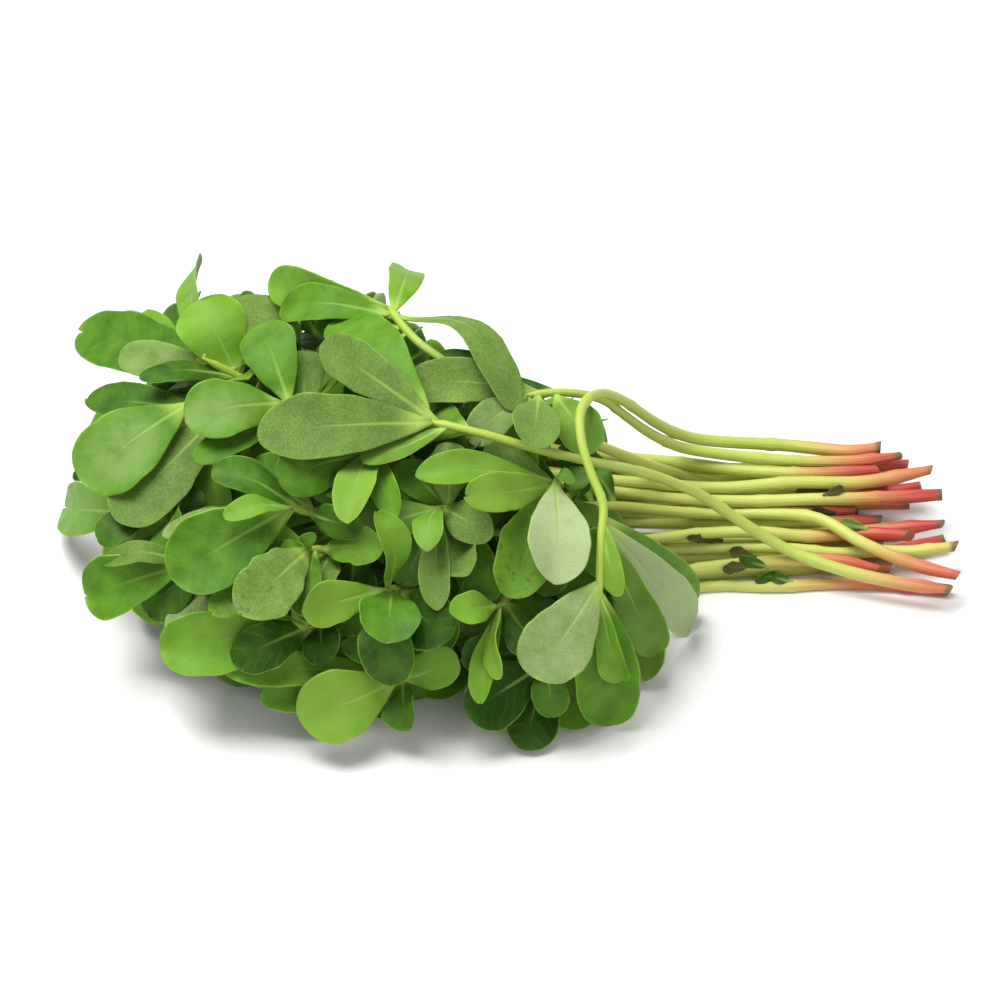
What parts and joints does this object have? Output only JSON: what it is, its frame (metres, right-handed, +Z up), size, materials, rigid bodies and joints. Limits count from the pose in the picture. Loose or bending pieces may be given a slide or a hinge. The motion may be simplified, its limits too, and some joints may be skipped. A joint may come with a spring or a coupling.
{
  "type": "purslane bunch",
  "caption": "Loose bunch of cut purslane lying on its side: a heap of small paddle-shaped leaves on bare stems that run side by side to their cut ends.",
  "frame": {"origin": "centre of the bunch's box seen from above, on the surface that it lies on", "axes": "+X along the stems towards their cut ends, +Z up, and -Y towards the side that the picture shows"},
  "size_m": [0.2708, 0.1902, 0.092],
  "materials": {
    "purslane_green": "fresh leaves and stems with a soft sheen"
  },
  "bodies": {
    "root": {"stem_high_left": "purslane_green", "stem_far_left": "purslane_green", "stem_left_end": "purslane_green", "stem_upper_left": "purslane_green", "stem_crossing": "purslane_green", "stem_top": "purslane_green", "stem_top_right": "purslane_green", "stem_hanging": "purslane_green", "stem_middle_right": "purslane_green", "stem_middle_left": "purslane_green", "stem_middle": "purslane_green", "stem_low_left": "purslane_green", "stem_lower_left": "purslane_green", "stem_left_foot": "purslane_green", "stem_front_left": "purslane_green", "stem_front_middle": "purslane_green", "stem_front_foot": "purslane_green", "stem_front": "purslane_green", "stem_front_right": "purslane_green", "stem_right_foot": "purslane_green", "stem_back_left": "purslane_green", "stem_back_middle": "purslane_green", "stem_back_right": "purslane_green", "stem_back_foot_left": "purslane_green", "stem_back_foot_middle": "purslane_green", "stem_back_foot_right": "purslane_green", "stem_right_side": "purslane_green", "stem_left_side": "purslane_green"}
  },
  "joints": []
}
